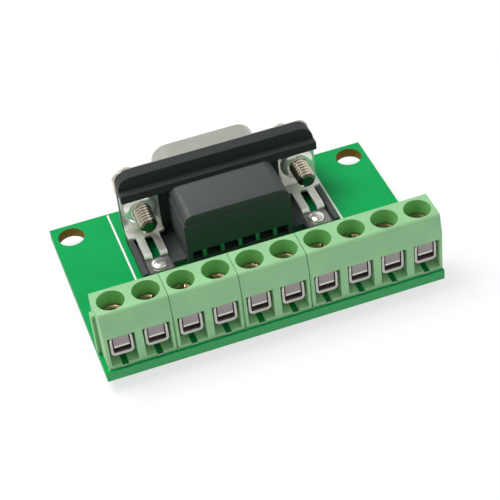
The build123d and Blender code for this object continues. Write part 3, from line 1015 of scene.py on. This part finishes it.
class ADAPTER_OT_jackscrews(Dressing, bpy.types.Operator):
    """Build the hexagonal jackscrews with their threads"""

    bl_idname = "adapter.jackscrews"
    bl_label = "Jackscrews"

    def build(self, scene):
        size = sizes()
        finish = plated("jack_nickel", colours().jack, roughness=0.2, cloud=0.1, adjust=self.painted_groove_shade)
        flip = Matrix.Rotation(math.pi, 4, "X")
        chamfer = size.hex_chamfer
        hex_length, bore_length = 4.8 * MM, 4.4 * MM
        thread_radius, bore_depth, tail_depth = 1.42 * MM, 0.22 * MM, 0.34 * MM
        bore_tip, tail_tip = 0.3 * MM, 0.5 * MM
        proud, bore_proud = 0.01 * MM, 0.02 * MM
        for side in SIDES:
            node = "jackscrew_" + side
            a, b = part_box(node)
            axis = middle(node)
            flats = b.x - a.x
            across = flats / math.sqrt(3)
            turns = [math.radians(30 + 60 * k) for k in range(6)]
            hexagon = [Vector((across * math.cos(t), across * math.sin(t))) for t in turns]
            body = rings_mesh([[(p.x, p.y, z) for p in hexagon] for z in (0, hex_length)])
            envelope = [
                (flats / 2, -proud),
                (across + proud, chamfer * 0.6),
                (across + proud, hex_length - chamfer * 0.6),
                (flats / 2, hex_length + proud),
            ]
            body = combined(body, turned(envelope, 64), "INTERSECT")
            bore = threaded(thread_radius, bore_depth, size.jack_pitch, bore_length, bore_tip, 40, 8)
            bore.transform(Matrix.Translation((0, 0, hex_length + bore_proud)) @ flip)
            body = cut(body, bore)
            mouth = [(1.2 * MM, hex_length - 0.35 * MM), (1.62 * MM, hex_length + 0.07 * MM)]
            body = cut(body, turned(mouth, 40))
            tail_length = b.y - a.y - hex_length
            tail = threaded(thread_radius, tail_depth, size.jack_pitch, tail_length, tail_tip, 48, 10)
            tail.transform(flip)
            mesh = joined(body, tail)
            mesh.transform(Matrix.Rotation(-math.pi / 2, 4, "X"))
            place = (axis.x, b.y - hex_length, axis.z)
            show("hex_jackscrew_" + side, mesh, finish, ROOT, [node], place=place)

    def painted_groove_shade(self, tree, place, tone):
        """Paints shade near the axis: the metal in the thread's roots is made darker."""
        root, crest, darker = 1.12 * MM, 1.38 * MM, 0.18
        flat = calculate(tree, "MULTIPLY", place, (1.0, 0.0, 1.0), kind="VectorMath", output="Vector")
        share = remap(tree, calculate(tree, "LENGTH", flat, kind="VectorMath"), (root, crest))
        # painted shade in the thread's roots
        return blend(tree, share, shade(colours().jack, darker), tone)


class ADAPTER_OT_stage(Dressing, bpy.types.Operator):
    """Set up the floor, the lights and the camera"""

    bl_idname = "adapter.stage"
    bl_label = "Stage"

    def build(self, scene):
        scene.view_settings.view_transform = "Standard"
        self.floor(scene, low("terminal_contact_01").z)
        self.world(scene)
        self.lamps(scene)
        self.camera(scene)

    def floor(self, scene, height):
        """A pale floor that looks nearly white and still takes shadows."""
        half, glow = 1.2, 0.7
        mesh = bpy.data.meshes.new("floor")
        corners = [(-half, -half, 0), (half, -half, 0), (half, half, 0), (-half, half, 0)]
        mesh.from_pydata(corners, [], [(0, 1, 2, 3)])
        floor = bpy.data.objects.new("floor", mesh)
        floor.location.z = height
        scene.collection.objects.link(floor)
        material, tree, surface, place = shader("pale_floor", 0.6)
        mottle = mottled(tree, noise(tree, place, scale=40.0), colours().floor, 0.995, 1.005)
        tree.links.new(mottle, surface.inputs["Base Color"])
        white = fresh(tree, "Emission", Strength=1.0)
        path = fresh(tree, "LightPath").outputs
        seen = calculate(tree, "MAXIMUM", path["Is Camera Ray"], path["Is Glossy Ray"])
        share = calculate(tree, "MULTIPLY", seen, glow)
        whole = mixed_shaders(tree, share, surface.outputs["BSDF"], white.outputs["Emission"])
        tree.links.new(whole, tree.nodes["Material Output"].inputs["Surface"])
        mesh.materials.append(material)

    def world(self, scene):
        """Even light, a pale background, and reflections that darken overhead."""
        world = bpy.data.worlds.new("studio")
        scene.world = world
        world.use_nodes = True
        tree = world.node_tree
        ambient = tree.nodes["Background"]
        ambient.inputs["Color"].default_value = (0.95, 0.97, 1.0, 1.0)
        ambient.inputs["Strength"].default_value = 0.45
        pale = fresh(tree, "Background", Strength=1.0)
        direction = fresh(tree, "TexCoord").outputs["Generated"]
        level = remap(tree, axes(tree, direction)["Z"], (0.5, 0.95), (1.0, 0.35), "SMOOTHSTEP")
        studio = fresh(tree, "Background", Strength=level)
        path = fresh(tree, "LightPath").outputs
        lit, reflected = ambient.outputs["Background"], studio.outputs["Background"]
        light = mixed_shaders(tree, path["Is Glossy Ray"], lit, reflected)
        seen = calculate(tree, "MAXIMUM", path["Is Camera Ray"], path["Is Transmission Ray"])
        whole = mixed_shaders(tree, seen, light, pale.outputs["Background"])
        tree.links.new(whole, tree.nodes["World Output"].inputs["Surface"])

    def lamps(self, scene):
        """A key light from behind the socket and a weak fill from in front."""
        aim = middle("circuit_board")
        lamps = (
            ("key", (-0.12, 0.06, 0.36), 0.22, 1.2),
            ("fill", (0.26, -0.3, 0.2), 0.3, 0.1),
        )
        for name, place, size, power in lamps:
            light = bpy.data.lights.new(name, "AREA")
            light.shape = "DISK"
            light.size = size
            light.energy = power
            lamp = bpy.data.objects.new(name, light)
            lamp.location = place
            lamp.rotation_euler = (aim - Vector(place)).to_track_quat("-Z", "Y").to_euler()
            scene.collection.objects.link(lamp)

    def camera(self, scene):
        """Sees the adapter as the photograph shows it."""
        azimuth, elevation, roll = (math.radians(v) for v in (-14.68, 41.27, -6.76))
        position = [v * MM for v in (-45.40, -192.43, 163.04)]
        focal_pixels, picture_pixels, sensor = 1635.31, 500, 36.0
        back = Vector((
            math.sin(azimuth) * math.cos(elevation),
            -math.cos(azimuth) * math.cos(elevation),
            math.sin(elevation),
        ))
        right = Vector((math.cos(azimuth), math.sin(azimuth), 0.0))
        up = back.cross(right)
        across = right * math.cos(roll) + up * math.sin(roll)
        upright = up * math.cos(roll) - right * math.sin(roll)
        data = bpy.data.cameras.new("camera")
        data.sensor_width = sensor
        data.lens = focal_pixels / picture_pixels * sensor
        data.clip_start = 0.01
        data.clip_end = 10.0
        camera = bpy.data.objects.new("camera", data)
        turn = Matrix((across, upright, back)).transposed()
        camera.matrix_world = Matrix.Translation(position) @ turn.to_4x4()
        scene.collection.objects.link(camera)
        scene.camera = camera


OPERATORS = (
    ADAPTER_OT_board,
    ADAPTER_OT_solder,
    ADAPTER_OT_housings,
    ADAPTER_OT_clamps,
    ADAPTER_OT_screws,
    ADAPTER_OT_contacts,
    ADAPTER_OT_connector,
    ADAPTER_OT_shell,
    ADAPTER_OT_brackets,
    ADAPTER_OT_jackscrews,
    ADAPTER_OT_stage,
)


class ADAPTER_PT_panel(bpy.types.Panel):
    """The adapter's operators, sizes and colours"""

    bl_idname = "ADAPTER_PT_panel"
    bl_label = "Adapter"
    bl_space_type = "VIEW_3D"
    bl_region_type = "UI"
    bl_category = "Adapter"

    def draw(self, context):
        layout = self.layout
        for operator in OPERATORS:
            layout.operator(operator.bl_idname)
        for group in (context.scene.adapter_sizes, context.scene.adapter_colours):
            column = layout.column()
            for name in group.__annotations__:
                column.prop(group, name)


CLASSES = (AdapterSizes, AdapterColours, *OPERATORS, ADAPTER_PT_panel)


def register():
    """Registers the classes and the scene's settings."""
    for item in CLASSES:
        bpy.utils.register_class(item)
    bpy.types.Scene.adapter_sizes = PointerProperty(type=AdapterSizes)
    bpy.types.Scene.adapter_colours = PointerProperty(type=AdapterColours)


def unregister():
    """Removes what register added."""
    del bpy.types.Scene.adapter_colours
    del bpy.types.Scene.adapter_sizes
    for item in reversed(CLASSES):
        bpy.utils.unregister_class(item)


def main():
    """Builds every piece."""
    register()
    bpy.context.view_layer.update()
    for operator in OPERATORS:
        group, name = operator.bl_idname.split(".")
        getattr(getattr(bpy.ops, group), name)()


if __name__ == "__main__":
    main()
